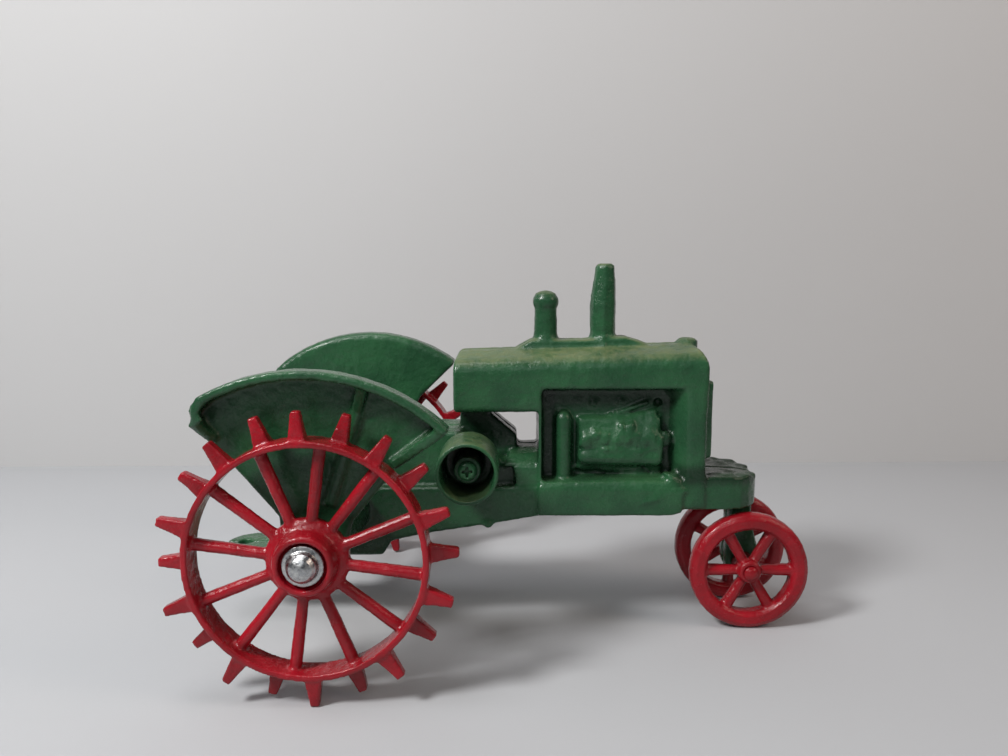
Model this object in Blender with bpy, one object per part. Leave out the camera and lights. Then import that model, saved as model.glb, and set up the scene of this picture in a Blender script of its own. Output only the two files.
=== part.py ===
"""Cast-iron toy row-crop tractor with spade-lug steel rear wheels.

The toy is a pair of hollow body castings that meet on the centre plane, with their
fenders, axle horns, stacks and half of the front post cast on.  A screw through the belt
pulley holds them together.  The rear wheels turn on a through axle held by domed push
nuts, and the two front wheels turn on a short axle with peened ends.

+X is forward, +Y is the tractor's left, +Z is up, and z = 0 is the ground.
Dimensions are in millimetres and are turned into metres when a mesh is made.
Places along X are measured from the rear axle; the finished pieces are then shifted so
that the origin lies under the middle of the toy.
"""

import math

import bmesh
import bpy
from mathutils import Matrix, Vector

MM = 0.001

# Gaps between neighbouring castings
SEAT_GAP = 0.3  # between faces that rest on each other
BORE_GAP = 0.3  # radial, around rods and screws
OVERLAP = 0.6  # how deep one cast feature is rooted in the next
SEAM = 0.25  # step where two cast features would otherwise lie flush

# Rear wheels
RIM_RADIUS = 32.1
RIM_THICKNESS = 1.7
RIM_WIDTH = 8.4
LUG_TIP_RADIUS = 39.6
LUG_COUNT = 20
LUG_BASE = (4.8, 3.9)  # along the rim, across the rim
LUG_TIP = (2.3, 2.8)
LUG_ROW_OFFSET = 1.9
LUG_PHASE = math.radians(-1.8)  # right wheel
LUG_PHASE_LEFT = math.radians(7.8)
SPOKE_COUNT = 12
SPOKE_RADII = (1.6, 1.8)  # at the hub, at the rim
SPOKE_PHASE = math.radians(8.0)
HUB_RADIUS = 11.1
HUB_FACE = 1.6  # hub disc face beyond the wheel's middle plane
COLLAR_RADIUS = 8.0
COLLAR_FACE = 6.6
NUT_POCKET_RADIUS = 6.3
NUT_POCKET_DEPTH = 2.2
REAR_TRACK_HALF = 60.0  # to the wheel's middle plane

# Rear axle and its push nuts
REAR_AXLE_RADIUS = 2.4
NUT_RADIUS = 5.5
NUT_FLANGE = 1.1
NUT_DOME_RADIUS = 4.2
NUT_HEIGHT = 5.0
AXLE_IN_NUT = 2.6

# Front wheels and axle
WHEELBASE = 128.4
FRONT_RADIUS = 18.75
FRONT_WIDTH = 6.2
FRONT_RIM_THICKNESS = 5.3
FRONT_SPOKE_COUNT = 6
FRONT_SPOKE_RADII = (1.7, 2.1)
FRONT_SPOKE_PHASE = math.radians(30.0)  # right wheel
FRONT_SPOKE_PHASE_LEFT = math.radians(0.0)
FRONT_HUB_RADIUS = 3.8
FRONT_HUB_FACE = 3.4
FRONT_TRACK_HALF = 12.1
FRONT_AXLE_RADIUS = 1.5
FRONT_HEAD_RADIUS = 2.3
FRONT_HEAD_HEIGHT = 1.5

# Hood, tank and radiator
HOOD_REAR = 35.4
HOOD_FRONT = 114.0
HOOD_HALF_WIDTH = 15.0
HOOD_EDGE_HEIGHT = 87.6  # at the middle of the roof
HOOD_CROWN = 1.7
HOOD_RISE = 2.2  # how much higher the roof stands at the radiator than at the rear
HOOD_CORNER = 5.0
HOOD_REAR_ROUND = (3.8, 2.6)  # how far the rounding of the end runs down, and along
HOOD_FRONT_ROUND = (6.6, 4.4)
TANK_BOTTOM = 70.0
GRILLE_PROUD = 2.2
GRILLE_HALF_WIDTH = 11.0
GRILLE_SPAN = (54.4, 79.1)

# Engine side with its recess
ENGINE_REAR = 61.7
WINDOW_SPAN = (62.6, 107.8)
WINDOW_HEIGHTS = (47.4, 77.6)
WINDOW_DEPTH = 6.0
WINDOW_FRONT_SLOPE = 5.2
BLOCK_SPAN = (74.2, 99.9)
BLOCK_HEIGHTS = (52.3, 67.7)
BLOCK_PROUD = 4.0
FILTER_X = 69.6
FILTER_RADIUS = 2.5
FILTER_TOP = 69.9
PORT_PLACE = (99.2, 72.1)
PORT_RADIUS = 1.4
PORT_DEPTH = 1.8

# Lower frame, transmission and bolster
RAIL_HALF_WIDTH = 16.0
RAIL_BOTTOM = 37.4
RAIL_TOP = 47.0
RAIL_FRONT = 106.5
CASE_HALF_WIDTH = 14.5
CASE_REAR = -14.0
CASE_BOTTOM = 24.2
CASE_UPPER_HALF_WIDTH = 11.5
DECK_HEIGHT = 57.5
COWL_HEIGHT = 63.4
COWL_SPAN = (25.0, 38.0)
BELL_REAR = 50.0
BELL_TOP = 57.6
BELL_SHOULDER = 53.6  # height of the housing at its sides
BELL_HALF_WIDTH = 14.0
BELL_POCKET = ((49.0, 54.8), (45.6, 53.0), 3.4)  # along, up, deep
PILLAR_HALF_WIDTH = 6.5
BOLSTER_OVERHANG = 4.0  # in front of the front axle
BOLSTER_NOSE = 6.4  # length of the sloping end of the top
BOLSTER_HALF_WIDTH = 14.0
BOLSTER_BOTTOM = 38.9
BOLSTER_TOP = 48.6
POST_RADIUS = 5.3
POST_NECK_HALF = 4.4
POST_HALF_THICKNESS = 5.2

# Stacks and fittings on the hood
EXHAUST_X = 82.5
EXHAUST_TOP = 115.3
EXHAUST_RADII = (4.1, 4.5, 3.3)  # at the foot, at the waist, at the mouth
EXHAUST_WAIST = 102.2
EXHAUST_LEAN = 0.7  # how far the mouth leans forward
INTAKE_X = 64.3
INTAKE_RADIUS = 3.7
INTAKE_NECK = 102.4
INTAKE_TOP = 107.0
INTAKE_CAP_RADIUS = 4.3
RADIATOR_CAP_X = 109.6
RADIATOR_CAP_RADIUS = 3.4
RADIATOR_CAP_TOP = 91.7
RIDGE_HALF_WIDTH = 4.5
RIDGE_ENDS = (55.0, 98.8)
RIDGE_CREST = ((59.5, 91.4), (77.0, 91.4), (89.0, 92.4), (94.4, 90.8))  # along, up

# Fenders
FENDER_CENTRE = (-1.2, 34.0)
FENDER_RADIUS = 54.9
FENDER_REAR_ANGLE = math.radians(-33.5)
FLANGE_REAR_ANGLE = math.radians(-29.3)
FENDER_FRONT_ANGLE = math.radians(44.5)
LEFT_FENDER_TURN = math.radians(-7.6)  # the left fender sits further round towards the rear
FENDER_SHOULDER = 2.4  # rounding between the plate's inner face and the flange's top
FENDER_PLATE = 2.0
FENDER_INNER = 50.7
FENDER_OUTER = 58.9
FLANGE_THICKNESS = 2.3
RIB_WIDTH = 2.8
RIB_ANGLE = math.radians(17.6)
EDGE_RIB_WIDTH = 2.8
RIB_CLEARANCE = 6.4  # between the lugs and where the upright rib stands full height
RIB_LOW_OUTER = 54.2  # how far out a rib may stand beside the wheel
RIB_FOOT = 19.0  # where the upright rib ends, from the centre of the arc
HORN_RADII = (9.0, 7.6)  # at the case, at the fender

# Drawbar
DRAWBAR_REAR = -41.2
DRAWBAR_HALF_WIDTH = 9.4
DRAWBAR_BOTTOM = 21.6
DRAWBAR_THICKNESS = 2.6
HITCH_HOLE_RADIUS = 2.2

# Belt pulley and its screw
PULLEY_X = 40.3
PULLEY_Z = 55.3
PULLEY_RADIUS = 9.2
PULLEY_WALL = 1.2
PULLEY_WEB = 2.5
PULLEY_BACK = 15.5  # distance from the centre plane
PULLEY_FACE = 34.0
PULLEY_HUB_RADIUS = 4.4
PULLEY_HUB_FACE = 28.6
SCREW_RADIUS = 1.75
SCREW_HEAD_RADIUS = 2.9
SCREW_HEAD_HEIGHT = 1.9
SCREW_TIP = 9.0
DRIVE_SLOT = (0.8, 3.2, 1.0)  # width, length, depth of the cross recess

# Casting walls
WALL = 3.0
PARTING_GAP = 0.15  # each half stops this far from the centre plane

LUG_SPACING = 2.0 * math.pi / LUG_COUNT
BOLSTER_FRONT = WHEELBASE + BOLSTER_OVERHANG
FENDER_BOSS_FACE = FENDER_INNER + FENDER_PLATE + 0.3  # against which the wheel's hub turns
REAR_AXLE_Z = LUG_TIP_RADIUS * math.cos(LUG_PHASE) + LUG_TIP[0] / 2 * abs(math.sin(LUG_PHASE))
HOOD_TOP = HOOD_EDGE_HEIGHT + HOOD_CROWN
MIDDLE_X = (DRAWBAR_REAR + WHEELBASE + FRONT_RADIUS) / 2
RIGHT, LEFT = -1, 1

COLOURS = {
    "green_enamel": ((0.030, 0.130, 0.050), 0.30, 0.0),
    "red_enamel": ((0.420, 0.012, 0.026), 0.28, 0.0),
    "bright_zinc": ((0.62, 0.63, 0.65), 0.25, 1.0),
    "plain_steel": ((0.30, 0.30, 0.31), 0.40, 1.0),
}


def clear_scene():
    for item in list(bpy.data.objects):
        bpy.data.objects.remove(item)


def material(name):
    """The Principled material of a finish, made once."""
    found = bpy.data.materials.get(name)
    if found:
        return found
    colour, roughness, metallic = COLOURS[name]
    made = bpy.data.materials.new(name)
    made.use_nodes = True
    shader = made.node_tree.nodes["Principled BSDF"]
    shader.inputs["Base Color"].default_value = (*colour, 1.0)
    shader.inputs["Roughness"].default_value = roughness
    shader.inputs["Metallic"].default_value = metallic
    return made


def solid(bm, name="feature"):
    """Turns a bmesh in millimetres into an object in metres with its faces pointing out."""
    bmesh.ops.remove_doubles(bm, verts=bm.verts, dist=1e-4)
    bmesh.ops.recalc_face_normals(bm, faces=bm.faces)
    bmesh.ops.triangulate(bm, faces=bm.faces)
    bmesh.ops.transform(bm, matrix=Matrix.Scale(MM, 4), verts=bm.verts)
    mesh = bpy.data.meshes.new(name)
    bm.to_mesh(mesh)
    bm.free()
    made = bpy.data.objects.new(name, mesh)
    bpy.context.scene.collection.objects.link(made)
    return made


def prism(outline, axis, low, high, rounding=0.0):
    """A solid of an outline, drawn in the other two axes in order, from low to high on its axis."""
    bm = bmesh.new()
    index = "XYZ".index(axis)

    def corner(point, level):
        values = list(point)
        values.insert(index, level)
        return bm.verts.new(values)

    near = [corner(point, min(low, high)) for point in outline]
    far = [corner(point, max(low, high)) for point in outline]
    bm.faces.new(near)
    bm.faces.new(far)
    for place in range(len(outline)):
        after = (place + 1) % len(outline)
        bm.faces.new((near[place], near[after], far[after], far[place]))
    if rounding:
        bmesh.ops.recalc_face_normals(bm, faces=bm.faces)
        edges = [edge for edge in bm.edges if edge.calc_face_angle() > math.radians(35)]
        bmesh.ops.bevel(bm, geom=edges, offset=rounding, segments=2, affect="EDGES",
                        profile=0.5, clamp_overlap=True)
    return solid(bm)


def box(x, y, z, rounding=0.0):
    """A block between pairs of coordinates."""
    outline = [(x[0], z[0]), (x[1], z[0]), (x[1], z[1]), (x[0], z[1])]
    return prism(outline, "Y", y[0], y[1], rounding)


def loft(start, end):
    """A solid between two loops with the same number of corners."""
    bm = bmesh.new()
    near = [bm.verts.new(point) for point in start]
    far = [bm.verts.new(point) for point in end]
    bm.faces.new(near)
    bm.faces.new(far)
    for place in range(len(near)):
        after = (place + 1) % len(near)
        bm.faces.new((near[place], near[after], far[after], far[place]))
    return solid(bm)


def turned(profile, axis, centre=(0.0, 0.0, 0.0), segments=24, closed=False):
    """A solid of a profile of (radius, height) turned about the Y or Z axis through a point."""
    bm = bmesh.new()
    middle = Vector(centre)
    if axis == "Y":
        points = [Vector((radius, height, 0.0)) + middle for radius, height in profile]
    else:
        points = [Vector((radius, 0.0, height)) + middle for radius, height in profile]
    verts = [bm.verts.new(point) for point in points]
    pairs = list(zip(verts, verts[1:]))
    if closed:
        pairs.append((verts[-1], verts[0]))
    edges = [bm.edges.new(pair) for pair in pairs]
    spun = Vector((0, 1, 0)) if axis == "Y" else Vector((0, 0, 1))
    bmesh.ops.spin(bm, geom=verts + edges, cent=middle, axis=spun, angle=2 * math.pi,
                   steps=segments, use_merge=True)
    return solid(bm)


def rod(radius, low, high, axis, centre=(0.0, 0.0, 0.0), segments=24):
    """A plain cylinder along Y or Z, between two heights from its centre."""
    return turned([(0.0, low), (radius, low), (radius, high), (0.0, high)], axis, centre, segments)


def combine(base, tool, operation="UNION"):
    """Joins, cuts or intersects two closed bodies and uses up the second."""
    modifier = base.modifiers.new(operation.title(), "BOOLEAN")
    modifier.operation = operation
    modifier.solver = "EXACT"
    modifier.object = tool
    depsgraph = bpy.context.evaluated_depsgraph_get()
    result = bpy.data.meshes.new_from_object(base.evaluated_get(depsgraph))
    base.modifiers.clear()
    base.data = result
    bpy.data.objects.remove(tool)
    tidy(result)
    return base


def tidy(mesh):
    """Merges stray points of a mesh and cuts its faces into triangles, which are always flat."""
    bm = bmesh.new()
    bm.from_mesh(mesh)
    bmesh.ops.remove_doubles(bm, verts=bm.verts, dist=1e-6)
    bmesh.ops.dissolve_degenerate(bm, edges=bm.edges, dist=1e-7)
    bmesh.ops.triangulate(bm, faces=bm.faces)
    bm.to_mesh(mesh)
    bm.free()


def finish(item, name, finish_name, origin=(0.0, 0.0, 0.0)):
    """Names a body, tidies its mesh, shades it smooth and moves its own axis onto a point."""
    item.name = name
    item.data.name = name
    bm = bmesh.new()
    bm.from_mesh(item.data)
    bmesh.ops.remove_doubles(bm, verts=bm.verts, dist=2e-6)
    bmesh.ops.dissolve_limit(bm, angle_limit=math.radians(0.5), verts=bm.verts, edges=bm.edges)
    bmesh.ops.triangulate(bm, faces=bm.faces)
    bm.to_mesh(item.data)
    bm.free()
    item.data.materials.clear()
    item.data.materials.append(material(finish_name))
    item.data.shade_smooth()
    item.data.set_sharp_from_angle(angle=math.radians(35))
    item.location = (Vector(origin) - Vector((MIDDLE_X, 0.0, 0.0))) * MM
    return item


def arc(centre, radius, start, end, count):
    """Points on an arc whose angles run clockwise from straight up."""
    steps = [start + (end - start) * place / (count - 1) for place in range(count)]
    return [(centre[0] + radius * math.sin(angle), centre[1] + radius * math.cos(angle)) for angle in steps]


def span(side, inner, outer):
    """The Y coordinates of a feature that runs outwards from the centre plane on one side."""
    return side * inner, side * outer


def hood(side):
    """Half of the hood, tank and radiator top, whose crowned roof rises towards the radiator."""
    low = TANK_BOTTOM
    edge = HOOD_EDGE_HEIGHT - HOOD_CORNER
    inset = HOOD_HALF_WIDTH - HOOD_CORNER
    corner = arc((inset, edge), HOOD_CORNER, math.radians(78), math.radians(10), 6)
    wall = [(-1.0, low), (HOOD_HALF_WIDTH - 1.0, low), (HOOD_HALF_WIDTH, low + 1.0)]
    roof = [(HOOD_HALF_WIDTH, edge), *corner, (inset * 0.45, HOOD_TOP - 0.3), (-1.0, HOOD_TOP)]

    def section(x, rise):
        return [(x, side * y, z) for y, z in wall] + [(x, side * y, z + rise) for y, z in roof]

    shell = loft(section(HOOD_REAR, -HOOD_RISE / 2), section(HOOD_FRONT, HOOD_RISE / 2))
    ends = ((HOOD_REAR, 1, -HOOD_RISE / 2, HOOD_REAR_ROUND), (HOOD_FRONT, -1, HOOD_RISE / 2, HOOD_FRONT_ROUND))
    for end, inwards, rise, (down, back) in ends:
        rounding = [(-1.0, -down), (0.0, -down), (0.18 * back, -0.55 * down), (0.5 * back, -0.22 * down),
                    (back, 0.0), (1.4 * back, 2.0), (-1.0, 2.0)]
        cutter = [(end + inwards * x, HOOD_TOP + rise + z) for x, z in rounding]
        combine(shell, prism(cutter, "Y", -20.0, 20.0), "DIFFERENCE")
    return shell


def engine(side):
    """The side panel below the hood, into which the engine recess is cut."""
    y = span(side, -1.0, HOOD_HALF_WIDTH)
    return box((ENGINE_REAR, HOOD_FRONT - 0.4), y, (RAIL_BOTTOM + 2, TANK_BOTTOM + 4), 0.6)


def recess(side):
    """The cutter of the engine recess: its front wall slopes back into the casting."""
    low, high = WINDOW_HEIGHTS
    rear, front = WINDOW_SPAN
    floor = side * (HOOD_HALF_WIDTH - WINDOW_DEPTH)
    mouth = side * (HOOD_HALF_WIDTH + 3.0)
    slope = WINDOW_FRONT_SLOPE
    spread = slope * 3.0 / WINDOW_DEPTH
    inner = [(rear, floor, low + 1.2), (front - slope, floor, low + 2.6),
             (front - slope, floor, high - 4.6), (front - slope - 2.6, floor, high - 1.0),
             (rear, floor, high - 1.0)]
    outer = [(rear, mouth, low), (front + spread, mouth, low), (front + spread, mouth, high - 1.0),
             (front + spread, mouth, high), (rear, mouth, high)]
    return loft(inner, outer)


def engine_relief(side):
    """The engine block and the upright filter that stand in the recess."""
    floor = HOOD_HALF_WIDTH - WINDOW_DEPTH
    low, high = BLOCK_HEIGHTS
    rear, front = BLOCK_SPAN
    root = side * (floor - OVERLAP)
    face = side * (floor + BLOCK_PROUD)
    middle = side * (floor + BLOCK_PROUD * 0.55)
    ring = [(rear, low), (front, low), (front, high), (rear, high)]
    lower = [(x, root, z) for x, z in ring]
    belly = [(x, middle, z) for x, z in ring]
    block = loft(lower, belly)
    inset = 1.8
    crest = [(rear + inset, face, low + inset), (front - inset, face, low + inset),
             (front - inset, face, high - 4.5), (rear + inset + 1.0, face, high - 7.0)]
    base = [(x, side * (floor + BLOCK_PROUD * 0.5), z) for x, z in ring]
    combine(block, loft(base, crest))
    shaft = [(0.0, WINDOW_HEIGHTS[0] - OVERLAP), (FILTER_RADIUS, WINDOW_HEIGHTS[0] - OVERLAP)]
    dome = [(FILTER_RADIUS * math.cos(math.radians(angle)),
             FILTER_TOP - FILTER_RADIUS + FILTER_RADIUS * math.sin(math.radians(angle)))
            for angle in (0, 30, 60)]
    shaft = turned([*shaft, *dome, (0.0, FILTER_TOP)], "Z",
                   (FILTER_X, side * (floor + FILTER_RADIUS * 0.55), 0.0), 12)
    combine(block, shaft)
    return block


def frame(side):
    """The lower frame: front rail, transmission case, cowl, bell housing and steering pillar."""
    rail = [(ENGINE_REAR - 0.2, RAIL_BOTTOM), (103.0, RAIL_BOTTOM), (RAIL_FRONT, RAIL_BOTTOM + 0.9),
            (RAIL_FRONT, RAIL_TOP - 0.6), (ENGINE_REAR - 0.2, RAIL_TOP)]
    body = prism(rail, "Y", *span(side, -1.0, RAIL_HALF_WIDTH), 0.6)
    bottom = CASE_BOTTOM
    case = [(ENGINE_REAR + 3, RAIL_BOTTOM), (46.0, 34.2), (28.0, 31.5), (15.4, 28.9), (12.5, bottom),
            (CASE_REAR + 5, bottom), (CASE_REAR, bottom + 5), (CASE_REAR, RAIL_TOP - 0.6),
            (ENGINE_REAR + 3, RAIL_TOP - 0.6)]
    combine(body, prism(case, "Y", *span(side, -1.1, CASE_HALF_WIDTH), 0.8))
    upper = [(CASE_REAR + 1.4, RAIL_TOP - 4), (CASE_REAR + 1.4, DECK_HEIGHT - 3),
             (CASE_REAR + 4, DECK_HEIGHT), (COWL_SPAN[0] - 4, DECK_HEIGHT), (COWL_SPAN[0], COWL_HEIGHT),
             (COWL_SPAN[1], COWL_HEIGHT), (BELL_REAR + 4, BELL_SHOULDER - 1.5), (BELL_REAR + 4, RAIL_TOP - 4)]
    combine(body, prism(upper, "Y", *span(side, -1.2, CASE_UPPER_HALF_WIDTH), 1.2))
    joint = (ENGINE_REAR + WINDOW_SPAN[0]) / 2
    half = BELL_HALF_WIDTH
    bell = [(side * -1.3, RAIL_TOP - 4), (side * half, RAIL_TOP - 4), (side * half, BELL_SHOULDER - 1.2),
            (side * (half - 0.8), BELL_SHOULDER), (side * half * 0.7, BELL_TOP - 1.5),
            (side * half * 0.35, BELL_TOP - 0.3), (side * -1.3, BELL_TOP)]
    bell = prism(bell, "X", BELL_REAR, joint)
    slope = [(BELL_REAR - 1, BELL_TOP - 6), (BELL_REAR, BELL_TOP - 6), (BELL_REAR + 4.0, BELL_TOP + 0.1),
             (BELL_REAR + 4.0, BELL_TOP + 1), (BELL_REAR - 1, BELL_TOP + 1)]
    combine(bell, prism(slope, "Y", -20.0, 20.0), "DIFFERENCE")
    pocket_x, pocket_z, depth = BELL_POCKET
    pocket = [(pocket_x[0], pocket_z[0]), (pocket_x[1], pocket_z[0] + 0.6), (pocket_x[1] - 0.8, pocket_z[1]),
              (pocket_x[0], pocket_z[1] - 0.8)]
    pocket = prism(pocket, "Y", *span(side, half - depth, half + 2))
    combine(bell, pocket, "DIFFERENCE")
    combine(body, bell)
    pillar = [(COWL_SPAN[1] - 1.0, PULLEY_Z), (COWL_SPAN[1] - 1.0, TANK_BOTTOM + 2),
              (47.0, TANK_BOTTOM + 2), (47.0, 68.0), (55.0, 61.4), (55.0, PULLEY_Z)]
    combine(body, prism(pillar, "Y", *span(side, -1.4, PILLAR_HALF_WIDTH), 0.8))
    return body


def bolster(side):
    """The rounded front bolster and its half of the post that carries the front axle."""
    top = BOLSTER_TOP
    profile = [(RAIL_FRONT - 2, BOLSTER_BOTTOM), (RAIL_FRONT - 2, top - 2.6), (RAIL_FRONT + 1, top - 0.4),
               (HOOD_FRONT + 3, top + 0.8), (BOLSTER_FRONT - BOLSTER_NOSE, top + 0.4),
               (BOLSTER_FRONT - 2, top - 0.4),
               (BOLSTER_FRONT + 1, top - 2.4), (BOLSTER_FRONT + 1, BOLSTER_BOTTOM)]
    body = prism(profile, "Y", *span(side, -1.5, BOLSTER_HALF_WIDTH), 0.0)
    nose = BOLSTER_FRONT - BOLSTER_HALF_WIDTH * 0.75
    count = 6
    turns = [math.radians(90.0 * place / (count - 1)) for place in range(count)]
    curve = [(nose + (BOLSTER_FRONT - nose) * math.sin(turn), side * BOLSTER_HALF_WIDTH * math.cos(turn))
             for turn in turns]
    plan = [(RAIL_FRONT - 4, side * -2.0), (RAIL_FRONT - 4, side * BOLSTER_HALF_WIDTH), *curve,
            (BOLSTER_FRONT, side * -2.0)]
    combine(body, prism(plan, "Z", BOLSTER_BOTTOM - 5, HOOD_TOP), "INTERSECT")
    foot = arc((WHEELBASE, FRONT_RADIUS), POST_RADIUS, math.radians(90), math.radians(270), 9)
    neck = POST_NECK_HALF
    outline = [*foot, (WHEELBASE - POST_RADIUS, FRONT_RADIUS + 4), (WHEELBASE - neck, FRONT_RADIUS + 12),
               (WHEELBASE - neck, BOLSTER_BOTTOM + 3), (WHEELBASE + neck * 0.6, BOLSTER_BOTTOM + 3),
               (WHEELBASE + neck * 0.6, FRONT_RADIUS + 14), (WHEELBASE + POST_RADIUS, FRONT_RADIUS + 4)]
    combine(body, prism(outline, "Y", -POST_HALF_THICKNESS, POST_HALF_THICKNESS, 1.2))
    return body


def stacks():
    """The faceted exhaust, the capped intake, the ridge under them and the radiator cap."""
    foot, waist, mouth = EXHAUST_RADII
    rear, front = RIDGE_ENDS
    ridge = [(rear, HOOD_TOP - 1.9), (rear, HOOD_TOP - 0.4), *RIDGE_CREST, (front, HOOD_TOP - 0.4),
             (front, HOOD_TOP - 1.9)]
    group = prism(ridge, "Y", -RIDGE_HALF_WIDTH, RIDGE_HALF_WIDTH, 0.8)
    exhaust = turned([(0.0, HOOD_TOP), (foot + 1.2, HOOD_TOP), (foot + 0.2, HOOD_TOP + 4.0),
                      (waist, EXHAUST_WAIST), (mouth, EXHAUST_TOP - 0.7), (mouth - 0.8, EXHAUST_TOP),
                      (0.0, EXHAUST_TOP)], "Z", (EXHAUST_X, 0.0, 0.0), 8)
    lean = EXHAUST_LEAN / (EXHAUST_TOP - EXHAUST_WAIST)
    for vert in exhaust.data.vertices:
        vert.co.x += lean * max(0.0, vert.co.z - EXHAUST_WAIST * MM)
    combine(group, exhaust)
    cap = INTAKE_CAP_RADIUS
    intake = turned([(0.0, HOOD_TOP), (INTAKE_RADIUS + 1.0, HOOD_TOP), (INTAKE_RADIUS + 0.2, HOOD_TOP + 4.0),
                     (INTAKE_RADIUS, INTAKE_NECK - 1.0), (cap, INTAKE_NECK), (cap, INTAKE_NECK + 1.8),
                     (cap * 0.75, INTAKE_TOP - 0.9), (cap * 0.3, INTAKE_TOP - 0.1), (0.0, INTAKE_TOP)],
                    "Z", (INTAKE_X, 0.0, 0.0), 16)
    combine(group, intake)
    lid = RADIATOR_CAP_RADIUS
    radiator_cap = turned([(0.0, HOOD_TOP - 3.2), (lid, HOOD_TOP - 3.2), (lid, RADIATOR_CAP_TOP - 1.0),
                           (lid * 0.7, RADIATOR_CAP_TOP), (0.0, RADIATOR_CAP_TOP)],
                          "Z", (RADIATOR_CAP_X, 0.0, 0.0), 14)
    return group, radiator_cap


def polar(radius, angle):
    """A point at a distance and angle from the centre of the fender's arc."""
    return (FENDER_CENTRE[0] + radius * math.sin(angle), FENDER_CENTRE[1] + radius * math.cos(angle))


def strip(side, start, end, width, inner, outer_start, outer_end):
    """A straight rib between two points of the fender, whose height changes along it."""
    along = (Vector(end) - Vector(start)).normalized()
    across = Vector((-along.y, along.x)) * width / 2

    def loop(point, outer):
        near, far = Vector(point) - across, Vector(point) + across
        return [(near.x, side * inner, near.y), (far.x, side * inner, far.y),
                (far.x, side * outer, far.y), (near.x, side * outer, near.y)]

    return loft(loop(start, outer_start), loop(end, outer_end))


def flange_corner(side):
    """The flange where it bends round the rear corner, leaning in a little towards its outer edge."""
    root = [(-26.8, 82.4), (-29.9, 80.4), (-31.4, 78.2), (-31.7, 76.0), (-30.0, 73.6), (-27.9, 74.9),
            (-29.2, 76.6), (-28.9, 77.9), (-25.9, 80.4)]
    outer = [(-26.3, 82.7), (-28.5, 81.0), (-29.4, 78.7), (-29.2, 76.8), (-27.7, 75.0), (-25.9, 76.2),
             (-26.9, 77.5), (-26.9, 78.7), (-25.3, 80.6)]
    low, high = FENDER_INNER + OVERLAP, FENDER_OUTER - SEAM
    return loft([(x, side * low, z) for x, z in root], [(x, side * high, z) for x, z in outer])


def shoulder(side):
    """The cutter that rounds the edge between the fender's inner face and the top of its flange."""
    radius, reach = FENDER_RADIUS, FENDER_SHOULDER
    low = FENDER_INNER
    section = [(radius - reach, low - 1.0), (radius - reach, low), (radius - 0.62 * reach, low + 0.1 * reach),
               (radius - 0.25 * reach, low + 0.34 * reach), (radius - 0.06 * reach, low + 0.7 * reach),
               (radius, low + 1.1 * reach), (radius + 1.0, low + 1.1 * reach), (radius + 1.0, low - 1.0)]
    middle = (FENDER_CENTRE[0], 0.0, FENDER_CENTRE[1])
    return turned([(along, side * across) for along, across in section], "Y", middle, 96, closed=True)


def fender(side):
    """A fan-shaped fender plate with its top flange, two ribs and the boss for the axle."""
    rear, front = FENDER_REAR_ANGLE, FENDER_FRONT_ANGLE
    top = arc(FENDER_CENTRE, FENDER_RADIUS, FLANGE_REAR_ANGLE, front, 19)
    edge = arc(FENDER_CENTRE, FENDER_RADIUS - SEAM, rear, front, 20)
    plate = [*edge, (22.6, 61.9), (10.5, 47.0), (8.0, 36.0), (-8.0, 36.0), (-9.3, 48.8), (-31.6, 75.4),
             (-32.2, 77.4)]
    y = span(side, FENDER_INNER, FENDER_INNER + FENDER_PLATE)
    body = prism(plate, "Y", *y, 0.5)
    under = arc(FENDER_CENTRE, FENDER_RADIUS - FLANGE_THICKNESS, front, FLANGE_REAR_ANGLE, 19)
    flange = prism([*top, *under], "Y", *span(side, FENDER_INNER + SEAM, FENDER_OUTER), 0.5)
    combine(body, flange)
    combine(body, flange_corner(side))
    inner = FENDER_INNER + OVERLAP
    inside = FENDER_RADIUS - FLANGE_THICKNESS / 2
    clear = LUG_TIP_RADIUS + RIB_CLEARANCE
    bend = polar(clear, RIB_ANGLE)
    crest = polar(inside, RIB_ANGLE)
    combine(body, strip(side, crest, bend, RIB_WIDTH, inner, FENDER_OUTER - 0.6, RIB_LOW_OUTER))
    bend, foot = polar(clear + 0.2, RIB_ANGLE), polar(RIB_FOOT, RIB_ANGLE)
    combine(body, strip(side, bend, foot, RIB_WIDTH * 0.98, inner, RIB_LOW_OUTER - 0.1, RIB_LOW_OUTER - 0.4))
    tip = polar(inside - 0.4, front - math.radians(1.3))
    combine(body, strip(side, tip, (21.7, 62.9), EDGE_RIB_WIDTH, inner, FENDER_OUTER - 0.4, RIB_LOW_OUTER))
    combine(body, strip(side, (-29.6, 75.4), (-25.0, 69.9), EDGE_RIB_WIDTH, inner, FENDER_OUTER - 0.9,
                        RIB_LOW_OUTER - 0.2))
    combine(body, shoulder(side), "DIFFERENCE")
    if side == LEFT:
        pivot = Matrix.Translation(Vector((FENDER_CENTRE[0], 0.0, FENDER_CENTRE[1])) * MM)
        body.data.transform(pivot @ Matrix.Rotation(LEFT_FENDER_TURN, 4, "Y") @ pivot.inverted())
    large, small = HORN_RADII
    reach = sorted(span(side, FENDER_INNER - 3, FENDER_BOSS_FACE))
    combine(body, rod(small + 1.6, *reach, "Y", (0.0, 0.0, REAR_AXLE_Z), 24))
    horn = [(0.0, side * 6.0), (large, side * 6.0), (large, side * (CASE_HALF_WIDTH + 4)),
            (small, side * (CASE_HALF_WIDTH + 12)), (small, side * (FENDER_INNER + 1)),
            (0.0, side * (FENDER_INNER + 1))]
    combine(body, turned(horn, "Y", (0.0, 0.0, REAR_AXLE_Z), 24))
    return body


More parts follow.
